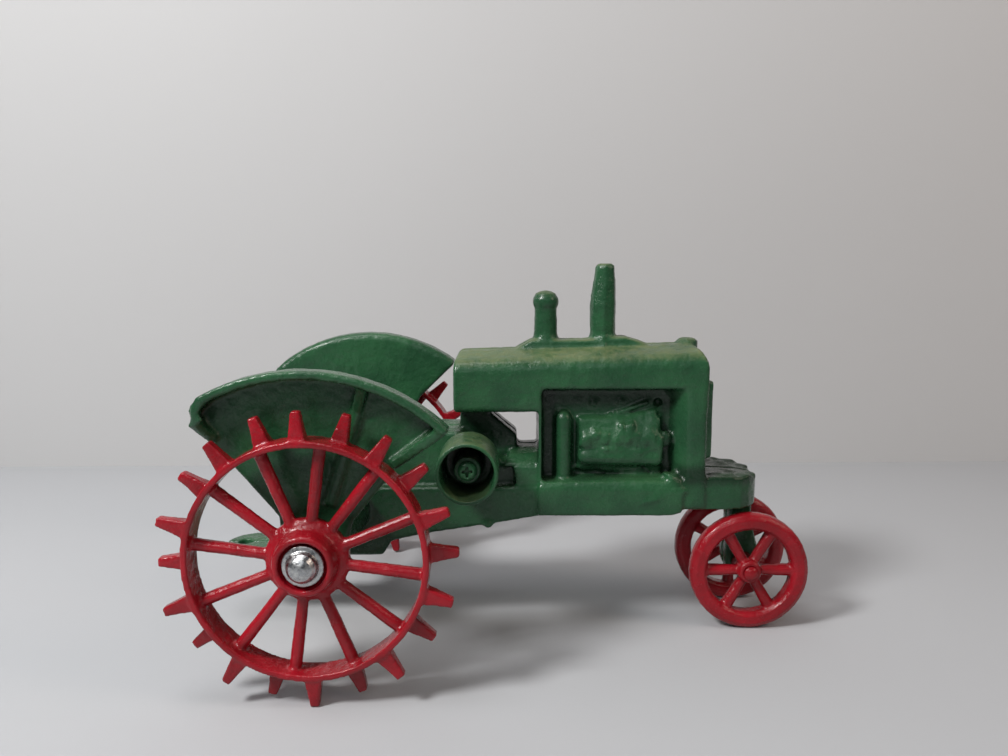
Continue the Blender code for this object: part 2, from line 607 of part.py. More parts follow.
def drawbar(side):
    """Half of the flat drawbar plate with its round end."""
    radius = DRAWBAR_HALF_WIDTH
    end = [(DRAWBAR_REAR + radius - radius * math.sin(math.radians(angle)),
            side * radius * math.cos(math.radians(angle))) for angle in range(0, 91, 15)]
    plan = [(CASE_REAR + 8, side * -2.0), (CASE_REAR + 8, side * radius), *end, (DRAWBAR_REAR, side * -2.0)]
    return prism(plan, "Z", DRAWBAR_BOTTOM, DRAWBAR_BOTTOM + DRAWBAR_THICKNESS)


def hollows(side):
    """The cutters that leave the casting open towards the other half, with even walls."""
    y = span(side, -4.0, HOOD_HALF_WIDTH - WALL)
    deep = HOOD_HALF_WIDTH - WINDOW_DEPTH - WALL
    yield box((HOOD_REAR + WALL, ENGINE_REAR - WALL), y, (TANK_BOTTOM + WALL, HOOD_EDGE_HEIGHT - WALL))
    above_engine = (WINDOW_HEIGHTS[1] + WALL, HOOD_EDGE_HEIGHT - WALL)
    yield box((ENGINE_REAR - WALL - 1, HOOD_FRONT - WALL), y, above_engine)
    yield box((ENGINE_REAR + WALL, WINDOW_SPAN[1] - WALL - WINDOW_FRONT_SLOPE), span(side, -4.0, deep),
              (RAIL_BOTTOM + WALL, WINDOW_HEIGHTS[1] + WALL + 1))
    low = span(side, -4.0, CASE_HALF_WIDTH - WALL)
    yield box((12.0, COWL_SPAN[1] - 4), low, (36.0, RAIL_TOP - WALL))
    yield box((CASE_REAR + 1.4 + WALL, -REAR_AXLE_RADIUS * 3), low, (CASE_BOTTOM + 6, RAIL_TOP - WALL))
    upper = span(side, -4.0, CASE_UPPER_HALF_WIDTH - WALL)
    yield box((CASE_REAR + 1.4 + WALL, COWL_SPAN[0] - 1), upper, (RAIL_TOP, DECK_HEIGHT - WALL))


def bores(side):
    """The cutters of the axle bores, the screw hole, the hitch hole and the blind port."""
    reach = FENDER_OUTER + 5
    yield rod(REAR_AXLE_RADIUS + BORE_GAP, *sorted(span(side, -3.0, reach)), "Y", (0.0, 0.0, REAR_AXLE_Z))
    front_hub = (WHEELBASE, 0.0, FRONT_RADIUS)
    yield rod(FRONT_AXLE_RADIUS + BORE_GAP, *sorted(span(side, -3.0, FRONT_TRACK_HALF)), "Y", front_hub, 16)
    depth = PULLEY_BACK + 2 if side == RIGHT else SCREW_TIP + 1
    yield rod(SCREW_RADIUS + BORE_GAP, *sorted(span(side, -3.0, depth)), "Y", (PULLEY_X, 0.0, PULLEY_Z), 16)
    yield rod(HITCH_HOLE_RADIUS, DRAWBAR_BOTTOM - 2, DRAWBAR_BOTTOM + DRAWBAR_THICKNESS + 2, "Z",
              (DRAWBAR_REAR + 6.0, 0.0, 0.0), 16)
    floor = HOOD_HALF_WIDTH - WINDOW_DEPTH
    port = (PORT_PLACE[0], 0.0, PORT_PLACE[1])
    yield rod(PORT_RADIUS, *sorted(span(side, floor - PORT_DEPTH, floor + 3)), "Y", port, 12)


def body_half(side, name):
    """One body casting, from the centre plane to its fender."""
    body = hood(side)
    combine(body, engine(side))
    combine(body, recess(side), "DIFFERENCE")
    combine(body, engine_relief(side))
    combine(body, frame(side))
    combine(body, bolster(side))
    grille_depth = (HOOD_FRONT - 2, HOOD_FRONT + GRILLE_PROUD)
    combine(body, box(grille_depth, span(side, -1.6, GRILLE_HALF_WIDTH), GRILLE_SPAN, 0.7))
    group, radiator_cap = stacks()
    combine(body, group)
    combine(body, radiator_cap)
    combine(body, fender(side))
    combine(body, drawbar(side))
    if side == RIGHT:
        boss = rod(PULLEY_HUB_RADIUS + 0.8, *sorted(span(side, 5.0, PULLEY_BACK - SEAT_GAP)), "Y",
                   (PULLEY_X, 0.0, PULLEY_Z), 20)
        combine(body, boss)
    for cutter in hollows(side):
        combine(body, cutter, "DIFFERENCE")
    for cutter in bores(side):
        combine(body, cutter, "DIFFERENCE")
    other = box((-80, 180), span(side, PARTING_GAP, -80), (-5, 140))
    combine(body, other, "DIFFERENCE")
    return finish(body, name, "green_enamel")


def spokes(wheel, count, radii, phase, inner, outer, sides=8):
    """Adds tapered round spokes to a wheel that stands on the origin with its axle along Y."""
    for place in range(count):
        angle = phase + 2 * math.pi * place / count
        spoke = turned([(0.0, inner), (radii[0], inner), (radii[1], outer), (0.0, outer)], "Z", segments=sides)
        spoke.data.transform(Matrix.Rotation(math.pi / sides, 4, "Z"))
        spoke.data.transform(Matrix.Rotation(angle, 4, "Y"))
        combine(wheel, spoke)


def lug(place, phase):
    """A tapered spade lug; its row alternates between the two edges of the rim."""
    row = -LUG_ROW_OFFSET if place % 2 == 0 else LUG_ROW_OFFSET
    root = RIM_RADIUS - RIM_THICKNESS / 2

    def quad(size, height):
        along, across = size[0] / 2, size[1] / 2
        return [(-along, row - across, height), (along, row - across, height),
                (along, row + across, height), (-along, row + across, height)]

    piece = loft(quad(LUG_BASE, root), quad(LUG_TIP, LUG_TIP_RADIUS))
    piece.data.transform(Matrix.Rotation(phase + LUG_SPACING * place, 4, "Y"))
    return piece


def rear_wheel(side, name):
    """A steel wheel with round spokes, staggered lugs and a stepped hub; its outer face is at -Y."""
    half = RIM_WIDTH / 2
    inside = RIM_RADIUS - RIM_THICKNESS
    rim = [(inside, -half), (RIM_RADIUS, -half), (RIM_RADIUS, half), (inside, half)]
    wheel = turned(rim, "Y", segments=60, closed=True)
    bore = REAR_AXLE_RADIUS + BORE_GAP
    back = REAR_TRACK_HALF - FENDER_BOSS_FACE - SEAT_GAP
    hub = [(bore, -COLLAR_FACE + NUT_POCKET_DEPTH), (NUT_POCKET_RADIUS, -COLLAR_FACE + NUT_POCKET_DEPTH),
           (NUT_POCKET_RADIUS, -COLLAR_FACE), (COLLAR_RADIUS - 0.5, -COLLAR_FACE),
           (COLLAR_RADIUS, -COLLAR_FACE + 0.6), (COLLAR_RADIUS + 0.7, -HUB_FACE - 0.8),
           (HUB_RADIUS - 1.0, -HUB_FACE), (HUB_RADIUS, -HUB_FACE + 0.9), (HUB_RADIUS, HUB_FACE),
           (COLLAR_RADIUS, HUB_FACE + 1.2), (COLLAR_RADIUS - 1.0, back), (bore, back)]
    spokes(wheel, SPOKE_COUNT, SPOKE_RADII, SPOKE_PHASE, HUB_RADIUS - 2.5, RIM_RADIUS - RIM_THICKNESS / 2)
    combine(wheel, turned(hub, "Y", segments=32, closed=True))
    for place in range(LUG_COUNT):
        combine(wheel, lug(place, LUG_PHASE if side == RIGHT else LUG_PHASE_LEFT))
    if side == LEFT:
        turn_round(wheel)
    return finish(wheel, name, "red_enamel", (0.0, side * REAR_TRACK_HALF, REAR_AXLE_Z))


def turn_round(wheel):
    """Mirrors a wheel in its middle plane, so that its outer face looks the other way."""
    wheel.data.transform(Matrix.Scale(-1.0, 4, Vector((0, 1, 0))))
    wheel.data.flip_normals()


def front_wheel(side, name):
    """A cast wheel with a thick rounded rim and six spokes; its outer face is at -Y."""
    half = FRONT_WIDTH / 2
    inside = FRONT_RADIUS - FRONT_RIM_THICKNESS
    rim = [(inside, -half * 0.6), (inside + 1.0, -half), (FRONT_RADIUS - 1.7, -half),
           (FRONT_RADIUS - 0.4, -half * 0.72), (FRONT_RADIUS, -half * 0.3), (FRONT_RADIUS, half * 0.3),
           (FRONT_RADIUS - 0.4, half * 0.72), (FRONT_RADIUS - 1.7, half), (inside + 1.0, half),
           (inside, half * 0.6)]
    wheel = turned(rim, "Y", segments=40, closed=True)
    phase = FRONT_SPOKE_PHASE if side == RIGHT else FRONT_SPOKE_PHASE_LEFT
    spokes(wheel, FRONT_SPOKE_COUNT, FRONT_SPOKE_RADII, phase, FRONT_HUB_RADIUS - 1.2, inside + 1.2)
    bore = FRONT_AXLE_RADIUS + BORE_GAP
    back = FRONT_TRACK_HALF - POST_HALF_THICKNESS - SEAT_GAP
    hub = [(bore, -FRONT_HUB_FACE), (FRONT_HUB_RADIUS - 0.6, -FRONT_HUB_FACE),
           (FRONT_HUB_RADIUS, -FRONT_HUB_FACE + 1.2), (FRONT_HUB_RADIUS, back), (bore, back)]
    combine(wheel, turned(hub, "Y", segments=20, closed=True))
    if side == LEFT:
        turn_round(wheel)
    return finish(wheel, name, "red_enamel", (WHEELBASE, side * FRONT_TRACK_HALF, FRONT_RADIUS))


def rear_axle():
    """The plain rod through both horns; its ends sit in the push nuts."""
    end = REAR_TRACK_HALF + COLLAR_FACE - NUT_POCKET_DEPTH + SEAT_GAP + AXLE_IN_NUT
    return finish(rod(REAR_AXLE_RADIUS, -end, end, "Y"), "rear_axle", "plain_steel", (0.0, 0.0, REAR_AXLE_Z))


def push_nut(side, name):
    """A domed push nut with a flat flange, open towards the axle."""
    pocket = REAR_AXLE_RADIUS + BORE_GAP
    dome = NUT_DOME_RADIUS
    profile = [(0.0, AXLE_IN_NUT + SEAT_GAP), (pocket, AXLE_IN_NUT + SEAT_GAP), (pocket, 0.0),
               (NUT_RADIUS, 0.0), (NUT_RADIUS, NUT_FLANGE), (dome, NUT_FLANGE + 0.3),
               (dome * 0.93, NUT_HEIGHT * 0.55), (dome * 0.7, NUT_HEIGHT * 0.8),
               (dome * 0.35, NUT_HEIGHT * 0.96), (0.0, NUT_HEIGHT)]
    profile = [(radius, side * height) for radius, height in profile]
    seat = side * (REAR_TRACK_HALF + COLLAR_FACE - NUT_POCKET_DEPTH + SEAT_GAP)
    return finish(turned(profile, "Y", segments=28), name, "bright_zinc", (0.0, seat, REAR_AXLE_Z))


def front_axle():
    """The short front axle with a peened head outside each wheel."""
    end = FRONT_TRACK_HALF + FRONT_HUB_FACE + SEAT_GAP
    head = FRONT_HEAD_RADIUS
    half = [(FRONT_AXLE_RADIUS, end), (head, end), (head, end + 0.5),
            (head * 0.6, end + FRONT_HEAD_HEIGHT * 0.8), (0.0, end + FRONT_HEAD_HEIGHT)]
    mirrored = [(radius, -height) for radius, height in reversed(half)]
    axle = turned([*mirrored, *half], "Y", segments=16)
    return finish(axle, "front_axle", "red_enamel", (WHEELBASE, 0.0, FRONT_RADIUS))


def belt_pulley():
    """The cup-shaped belt pulley on the right side, open outwards around its hub."""
    back, web = -PULLEY_BACK, -PULLEY_BACK - PULLEY_WEB
    inside = PULLEY_RADIUS - PULLEY_WALL
    bore = SCREW_RADIUS + BORE_GAP
    profile = [(bore, back), (PULLEY_RADIUS - 0.5, back), (PULLEY_RADIUS, back - 0.5),
               (PULLEY_RADIUS + 0.15, (back - PULLEY_FACE) / 2), (PULLEY_RADIUS, -PULLEY_FACE + 0.3),
               (PULLEY_RADIUS - 0.3, -PULLEY_FACE), (inside + 0.2, -PULLEY_FACE), (inside, -PULLEY_FACE + 0.4),
               (inside - 0.6, web), (PULLEY_HUB_RADIUS, web), (PULLEY_HUB_RADIUS - 0.4, -PULLEY_HUB_FACE),
               (bore, -PULLEY_HUB_FACE)]
    pulley = turned(profile, "Y", segments=40, closed=True)
    return finish(pulley, "belt_pulley", "green_enamel", (PULLEY_X, 0.0, PULLEY_Z))


def pulley_screw():
    """The pan-head screw that carries the pulley and draws the two castings together."""
    seat = -PULLEY_HUB_FACE - SEAT_GAP
    face = seat - SCREW_HEAD_HEIGHT
    head = SCREW_HEAD_RADIUS
    screw = turned([(0.0, face), (head * 0.7, face), (head, face + 0.7), (head, seat), (SCREW_RADIUS, seat),
                    (SCREW_RADIUS, SCREW_TIP - 1.0), (0.0, SCREW_TIP)], "Y", segments=20)
    width, length, depth = DRIVE_SLOT
    for across, upright in ((length, width), (width, length)):
        slot = box((-across / 2, across / 2), (face - 1, face + depth), (-upright / 2, upright / 2))
        combine(screw, slot, "DIFFERENCE")
    return finish(screw, "pulley_screw", "green_enamel", (PULLEY_X, 0.0, PULLEY_Z))


def main():
    clear_scene()
    body_half(RIGHT, "body_right")
    body_half(LEFT, "body_left")
    rear_axle()
    front_axle()
    belt_pulley()
    pulley_screw()
    for side, label in ((RIGHT, "right"), (LEFT, "left")):
        rear_wheel(side, f"rear_wheel_{label}")
        push_nut(side, f"push_nut_{label}")
        front_wheel(side, f"front_wheel_{label}")


main()
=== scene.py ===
"""Finish of the cast-iron toy tractor: softened castings, gloss enamel, dust and bright nuts.

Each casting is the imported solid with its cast-on relief added, remeshed and smoothed so
that its corners and joints get the round fillets of sand-cast iron.  Metres, +X forward,
+Y to the tractor's left, +Z up.
"""

import math

import bmesh
import bpy
from mathutils import Matrix, Vector, noise


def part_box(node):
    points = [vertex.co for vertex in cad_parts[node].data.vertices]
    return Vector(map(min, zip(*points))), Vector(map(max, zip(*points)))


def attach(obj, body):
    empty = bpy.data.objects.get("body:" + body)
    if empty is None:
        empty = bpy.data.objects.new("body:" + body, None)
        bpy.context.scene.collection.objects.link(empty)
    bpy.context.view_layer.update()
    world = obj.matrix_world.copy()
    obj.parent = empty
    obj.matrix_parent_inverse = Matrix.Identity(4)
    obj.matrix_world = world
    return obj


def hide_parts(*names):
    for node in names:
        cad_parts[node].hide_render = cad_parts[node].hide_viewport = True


MM = 0.001
RIGHT, LEFT = -1, 1

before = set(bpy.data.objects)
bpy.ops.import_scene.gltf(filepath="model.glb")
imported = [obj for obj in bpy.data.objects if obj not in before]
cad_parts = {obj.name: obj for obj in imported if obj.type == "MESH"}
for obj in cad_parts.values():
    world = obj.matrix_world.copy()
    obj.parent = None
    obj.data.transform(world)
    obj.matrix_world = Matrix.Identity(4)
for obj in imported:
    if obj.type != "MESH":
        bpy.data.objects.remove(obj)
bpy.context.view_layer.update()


# ---------------------------------------------------------------- places read from the frame
def centre(node):
    low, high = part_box(node)
    return (low + high) / 2


REAR_HUB = centre("rear_axle")
FRONT_HUB = centre("front_axle")
PULLEY = centre("pulley_screw")
REAR_X = REAR_HUB.x  # places along the body are measured forwards from the rear axle

HOOD_SIDE = 15.0 * MM
PANEL_FLOOR = 9.0 * MM
RAIL_SIDE = 16.0 * MM
FENDER_TURN = math.radians(-7.6)  # how much further rearward the left fender sits


def along(distance):
    """The X of a place that many millimetres in front of the rear axle."""
    return REAR_X + distance * MM


# ---------------------------------------------------------------- materials
class Nodes:
    """A small helper that adds shader nodes to one material and links them."""

    def __init__(self, name):
        self.material = bpy.data.materials.new(name)
        self.material.use_nodes = True
        self.tree = self.material.node_tree
        self.shader = self.tree.nodes["Principled BSDF"]
        self.place = self.tree.nodes.new("ShaderNodeTexCoord").outputs["Object"]
        self.geometry = self.tree.nodes.new("ShaderNodeNewGeometry")

    def link(self, source, target):
        self.tree.links.new(source, target)

    def noise(self, scale, detail=4.0, roughness=0.55, distortion=0.0):
        node = self.tree.nodes.new("ShaderNodeTexNoise")
        node.inputs["Scale"].default_value = scale
        node.inputs["Detail"].default_value = detail
        node.inputs["Roughness"].default_value = roughness
        node.inputs["Distortion"].default_value = distortion
        self.link(self.place, node.inputs["Vector"])
        return node.outputs["Fac"]

    def cells(self, scale, feature="F1"):
        node = self.tree.nodes.new("ShaderNodeTexVoronoi")
        node.feature = feature
        node.inputs["Scale"].default_value = scale
        self.link(self.place, node.inputs["Vector"])
        return node.outputs["Distance"]

    def ramp(self, value, low, high, start=0.0, end=1.0):
        node = self.tree.nodes.new("ShaderNodeMapRange")
        node.interpolation_type = "SMOOTHSTEP"
        node.inputs["From Min"].default_value = low
        node.inputs["From Max"].default_value = high
        node.inputs["To Min"].default_value = start
        node.inputs["To Max"].default_value = end
        self.link(value, node.inputs["Value"])
        return node.outputs["Result"]

    def math(self, operation, first, second):
        node = self.tree.nodes.new("ShaderNodeMath")
        node.operation = operation
        for socket, value in zip(node.inputs, (first, second)):
            if isinstance(value, (int, float)):
                socket.default_value = value
            else:
                self.link(value, socket)
        return node.outputs["Value"]

    def mix(self, factor, first, second):
        node = self.tree.nodes.new("ShaderNodeMix")
        node.data_type = "RGBA"
        self.link(factor, node.inputs["Factor"])
        for socket, value in ((node.inputs[6], first), (node.inputs[7], second)):
            if isinstance(value, tuple):
                socket.default_value = (*value, 1.0)
            else:
                self.link(value, socket)
        return node.outputs[2]

    def coordinates(self):
        """The X, Y and Z of a place on the piece, with the object at rest."""
        split = self.tree.nodes.new("ShaderNodeSeparateXYZ")
        self.link(self.place, split.inputs["Vector"])
        return split.outputs["X"], split.outputs["Y"], split.outputs["Z"]

    def inside(self, spans, fade):
        """1 inside a box of (low, high) spans in metres, whose edges fade out; None leaves an axis free."""
        mask = 1.0
        for value, limits in zip(self.coordinates(), spans):
            if limits:
                low, high = limits
                above = self.ramp(value, low - fade, low + fade)
                below = self.ramp(value, high + fade, high - fade)
                mask = self.math("MULTIPLY", mask, self.math("MULTIPLY", above, below))
        return mask

    def hollow(self, distance, samples=4):
        """How enclosed a place is by walls nearer than a distance, from 0 to 1."""
        node = self.tree.nodes.new("ShaderNodeAmbientOcclusion")
        node.samples = samples
        node.only_local = True
        node.inputs["Distance"].default_value = distance
        return self.ramp(node.outputs["AO"], 0.85, 0.25)

    def upward(self):
        """How far a surface faces up, from -1 to 1."""
        split = self.tree.nodes.new("ShaderNodeSeparateXYZ")
        self.link(self.geometry.outputs["Normal"], split.inputs["Vector"])
        return split.outputs["Z"]

    def bump(self, height, distance, strength, below=None):
        node = self.tree.nodes.new("ShaderNodeBump")
        node.inputs["Distance"].default_value = distance
        node.inputs["Strength"].default_value = strength
        self.link(height, node.inputs["Height"])
        if below is not None:
            self.link(below, node.inputs["Normal"])
        return node.outputs["Normal"]


def enamel(name, colour, deep, dust, dust_amount, gloss, dusty=None, shaded=()):
    """Gloss enamel brushed over rough cast iron, with dust on top and painted shade darkening its corners and
    recesses.
    """
    made = Nodes(name)
    edge = made.geometry.outputs["Pointiness"]
    flow = made.noise(70.0, 3.0, 0.5)
    grain = made.noise(420.0, 5.0, 0.6)
    sand = made.noise(1500.0, 4.0, 0.6)
    colour_value = made.mix(made.ramp(flow, 0.35, 0.68), deep, colour)
    # the colour of the painted shade in corners, recesses and under overhangs
    dark = tuple(0.22 * part for part in deep)
    # painted shade: concave corners, found by pointiness, are darkened
    corner = made.ramp(edge, 0.47, 0.42)
    colour_value = made.mix(made.math("MULTIPLY", corner, 0.7), colour_value, dark)
    # painted shade: places closely enclosed by walls are darkened, from ambient occlusion
    colour_value = made.mix(made.math("MULTIPLY", made.hollow(9.0 * MM), 0.6), colour_value, dark)
    # painted shade: each listed box, in recesses, under the tank and on the case, is darkened
    for amount, fade, spans in shaded:
        patch_shade = made.math("MULTIPLY", made.inside(spans, fade), made.ramp(flow, 0.2, 0.6, 0.75 * amount, amount))
        colour_value = made.mix(patch_shade, colour_value, dark)
    worn = made.math("MULTIPLY", made.ramp(edge, 0.56, 0.66), made.ramp(grain, 0.46, 0.66))
    colour_value = made.mix(made.math("MULTIPLY", worn, 0.35), colour_value, dust)
    patches = made.math("ADD", made.ramp(flow, 0.25, 0.75, 0.35, 0.9), made.ramp(grain, 0.3, 0.7, -0.25, 0.25))
    settled = made.math("MULTIPLY", made.ramp(made.upward(), 0.35, 0.95), patches)
    where = made.ramp(made.inside(dusty, 2.0 * MM), 0.0, 1.0, 0.08, 1.0) if dusty else 1.0
    settled = made.math("MULTIPLY", settled, made.math("MULTIPLY", where, dust_amount))
    colour_value = made.mix(settled, colour_value, dust)
    made.link(colour_value, made.shader.inputs["Base Color"])
    rough = made.ramp(grain, 0.3, 0.7, gloss, gloss + 0.13)
    rough = made.math("ADD", rough, made.math("MULTIPLY", settled, 0.45))
    made.link(rough, made.shader.inputs["Roughness"])
    made.shader.inputs["Specular IOR Level"].default_value = 0.30
    made.shader.inputs["Coat Weight"].default_value = 0.14
    made.shader.inputs["Coat Roughness"].default_value = 0.05
    lumps = made.bump(grain, 0.50 * MM, 0.85)
    made.link(made.bump(sand, 0.09 * MM, 0.7, lumps), made.shader.inputs["Normal"])
    return made.material


def zinc(name):
    """Bright zinc plate on a pressed push nut, with small dents and a dull skin in places."""
    made = Nodes(name)
    dents = made.noise(380.0, 3.0, 0.5)
    haze = made.noise(900.0, 4.0, 0.6)
    made.link(made.mix(made.ramp(haze, 0.35, 0.7), (0.36, 0.37, 0.38), (0.58, 0.59, 0.58)),
              made.shader.inputs["Base Color"])
    made.shader.inputs["Metallic"].default_value = 1.0
    made.link(made.ramp(haze, 0.3, 0.7, 0.22, 0.42), made.shader.inputs["Roughness"])
    made.link(made.bump(dents, 0.0004, 0.5), made.shader.inputs["Normal"])
    return made.material


def steel(name):
    """Drawn rod, dark and slightly oily."""
    made = Nodes(name)
    streak = made.noise(800.0, 4.0, 0.6)
    made.link(made.mix(made.ramp(streak, 0.35, 0.7), (0.16, 0.15, 0.15), (0.34, 0.33, 0.33)),
              made.shader.inputs["Base Color"])
    made.shader.inputs["Metallic"].default_value = 1.0
    made.link(made.ramp(streak, 0.3, 0.7, 0.35, 0.55), made.shader.inputs["Roughness"])
    made.link(made.bump(streak, 0.0001, 0.4), made.shader.inputs["Normal"])
    return made.material




def painted_shade(amount, edge, rear, front, reach, low, high):
    """Painted shade over a stretch of both castings, out to a distance from the centre plane, all in
    millimetres.
    """
    across = (-reach * MM, reach * MM)
    return amount, edge * MM, ((along(rear), along(front)), across, (low * MM, high * MM))


# Painted shade: boxes on the castings darkened where they fall in shade
PAINTED_SHADE = (
    painted_shade(0.85, 1.2, 61.0, 67.2, 13.8, 48.5, 78.0),  # painted shade at the rear and top of the engine recess
    painted_shade(0.80, 1.4, 61.0, 104.5, 13.8, 71.5, 78.0),
    painted_shade(0.70, 1.2, 100.0, 104.0, 13.4, 50.0, 73.0),  # painted shade in front of the engine block
    painted_shade(0.88, 1.5, 36.0, 61.8, 12.5, 57.0, 69.8),  # painted shade under the tank
    painted_shade(0.80, 1.0, 48.6, 55.2, 13.6, 45.2, 53.4),  # painted shade in the pocket of the bell housing
    painted_shade(0.80, 2.0, 104.0, 134.0, 20.0, 46.8, 53.0),  # painted shade over the top of the bolster
    painted_shade(0.60, 4.0, -14.0, 34.0, 49.0, 22.0, 50.0),  # painted shade on the transmission case
)
DUSTY_ROOF = (None, (-15.0 * MM, 15.0 * MM), (82.0 * MM, 125.0 * MM))
GREEN_COLOURS = ((0.024, 0.100, 0.040), (0.016, 0.068, 0.029), (0.185, 0.195, 0.085))
RED_COLOURS = ((0.345, 0.007, 0.016), (0.225, 0.005, 0.010), (0.300, 0.090, 0.065))
GREEN = enamel("green_enamel_cast", *GREEN_COLOURS, 0.62, 0.17, DUSTY_ROOF, PAINTED_SHADE)
GREEN_PULLEY = enamel("green_enamel_turned", *GREEN_COLOURS, 0.45, 0.22)
RED = enamel("red_enamel_cast", *RED_COLOURS, 0.0, 0.15)
ZINC = zinc("bright_zinc_plate")
STEEL = steel("drawn_steel")


# ---------------------------------------------------------------- modelling tools
def link(item):
    bpy.context.scene.collection.objects.link(item)
    return item


def from_bmesh(bm, name="relief"):
    bmesh.ops.recalc_face_normals(bm, faces=bm.faces)
    mesh = bpy.data.meshes.new(name)
    bm.to_mesh(mesh)
    bm.free()
    return link(bpy.data.objects.new(name, mesh))


def lump(place, size, turn=0.0, rough=0.18, seed=0.0):
    """A rough, rounded knob of cast metal: an icosphere pushed about by noise."""
    bm = bmesh.new()
    bmesh.ops.create_icosphere(bm, subdivisions=3, radius=1.0)
    for vert in bm.verts:
        vert.co *= 1.0 + rough * noise.noise(vert.co * 2.1 + Vector((seed, 3.0 * seed, 1.7)))
    matrix = (Matrix.Translation(Vector(place)) @ Matrix.Rotation(turn, 4, "Y")
              @ Matrix.Diagonal((*[value * MM for value in size], 1.0)))
    bmesh.ops.transform(bm, matrix=matrix, verts=bm.verts)
    return from_bmesh(bm)


def bar(start, end, thickness, flat=1.0):
    """A round-ended ridge between two places, flattened across Y where asked."""
    begin, finish = Vector(start), Vector(end)
    run = finish - begin
    bm = bmesh.new()
    bmesh.ops.create_uvsphere(bm, u_segments=12, v_segments=8, radius=thickness * MM / 2)
    for vert in bm.verts:
        if vert.co.z > 0:
            vert.co.z += run.length
        vert.co.y *= flat
    turn = run.to_track_quat("Z", "Y").to_matrix().to_4x4()
    bmesh.ops.transform(bm, matrix=Matrix.Translation(begin) @ turn, verts=bm.verts)
    return from_bmesh(bm)


def soften(mesh, wanted, times):
    """Rounds the part of a mesh whose points are wanted, more the more times it is smoothed."""
    bm = bmesh.new()
    bm.from_mesh(mesh)
    chosen = [vert for vert in bm.verts if wanted(vert.co)]
    for _ in range(times):
        bmesh.ops.smooth_vert(bm, verts=chosen, factor=0.5, use_axis_x=True, use_axis_y=True, use_axis_z=True)
    bm.to_mesh(mesh)
    bm.free()


def cast(name, body, finish, nodes, relief=(), voxel=0.5, smoothing=4, ripple=0.0, rounder=None):
    """One casting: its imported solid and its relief, merged, filleted and slightly rippled."""
    bm = bmesh.new()
    for item in [*[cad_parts[node] for node in nodes], *relief]:
        bm.from_mesh(item.data)
    bmesh.ops.remove_doubles(bm, verts=bm.verts, dist=1e-6)
    for item in relief:
        bpy.data.objects.remove(item)
    piece = from_bmesh(bm, name)
    remesh = piece.modifiers.new("Merge", "REMESH")
    remesh.mode = "VOXEL"
    remesh.voxel_size = voxel * MM * 1.0
    remesh.use_smooth_shade = True
    fillets = piece.modifiers.new("Fillets", "SMOOTH")
    fillets.factor = 0.5
    fillets.iterations = smoothing
    if ripple:
        texture = bpy.data.textures.new(name + "_ripple", "CLOUDS")
        texture.noise_scale = 3.2 * MM
        texture.noise_depth = 2
        wave = piece.modifiers.new("Ripple", "DISPLACE")
        wave.texture = texture
        wave.texture_coords = "LOCAL"
        wave.strength = ripple * MM
        wave.mid_level = 0.5
    depsgraph = bpy.context.evaluated_depsgraph_get()
    mesh = bpy.data.meshes.new_from_object(piece.evaluated_get(depsgraph))
    piece.modifiers.clear()
    piece.data = mesh
    if rounder:
        soften(mesh, *rounder)
    mesh.shade_smooth()
    mesh.materials.clear()
    mesh.materials.append(finish)
    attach(piece, body)
    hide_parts(*nodes)
    return piece


# ---------------------------------------------------------------- body castings
MANIFOLD = (  # along, up, half width, half height, lean
    (76.4, 60.6, 2.2, 2.6, 0.5), (79.6, 62.4, 1.8, 1.8, 0.7), (82.4, 61.6, 1.9, 2.4, 0.3),
    (85.6, 59.8, 1.6, 3.0, 0.1), (87.8, 62.6, 1.5, 3.4, -0.1), (89.8, 62.4, 1.5, 4.4, 0.2),
    (92.2, 61.0, 1.6, 3.6, 0.0), (94.6, 60.2, 1.5, 4.2, 0.3), (97.2, 61.0, 1.6, 4.0, -0.2),
    (99.2, 58.6, 1.3, 4.6, 0.0), (84.0, 57.8, 5.0, 1.4, 0.0), (92.5, 57.2, 6.0, 1.3, 0.0),
)
PIPES = (  # start, end, thickness
    ((75.5, 61.5), (82.5, 65.6), 2.2), ((82.5, 65.6), (89.4, 67.2), 2.2), ((89.4, 67.2), (97.9, 69.2), 2.0),
    ((77.8, 64.4), (84.0, 68.0), 1.3), ((84.0, 68.0), (95.6, 72.2), 1.3),
)


def engine_lumps(side):
    """The rough manifold, pipes and bosses on the engine block."""
    face = side * (PANEL_FLOOR + 3.3 * MM)
    back = side * (PANEL_FLOOR + 0.6 * MM)
    for index, (x, z, width, height, lean) in enumerate(MANIFOLD):
        yield lump((along(x), face, z * MM), (width, 1.5, height), lean, 0.45, index * 1.3 + side)
    for index, (start, end, thickness) in enumerate(PIPES):
        yield bar((along(start[0]), back, start[1] * MM), (along(end[0]), back, end[1] * MM), thickness)
    for x, z in ((79.0, 72.0), (87.5, 72.4)):
        yield lump((along(x), back - side * 0.6 * MM, z * MM), (1.3, 1.0, 1.1), 0.0, 0.3, x)
    sump = side * (PANEL_FLOOR + 2.2 * MM)
    yield bar((along(76.6), sump, 55.6 * MM), (along(98.0), sump, 55.0 * MM), 5.6)
    for x, z, width in ((76.0, 51.8, 3.4), (83.5, 51.4, 4.2), (91.0, 51.0, 4.4), (98.0, 51.4, 3.0)):
        yield lump((along(x), back, z * MM), (width, 1.4, 1.1), 0.1, 0.4, x * 0.7)
    yield lump((along(101.6), side * (PANEL_FLOOR + 2.0 * MM), 61.0 * MM), (1.6, 1.6, 2.6), 0.0, 0.3, 1.0)
    yield lump((along(103.6), side * (PANEL_FLOOR + 3.6 * MM), 48.9 * MM), (3.4, 2.4, 1.5), 0.4, 0.4, 2.0)


def hood_seams(side):
    """The raised strap round the tank and the thin bead beside it."""
    y = side * (HOOD_SIDE - 0.55 * MM)
    for x in (57.6, 61.4):
        yield bar((along(x), y, 72.5 * MM), (along(x), y, 81.2 * MM), 1.45, 1.0)


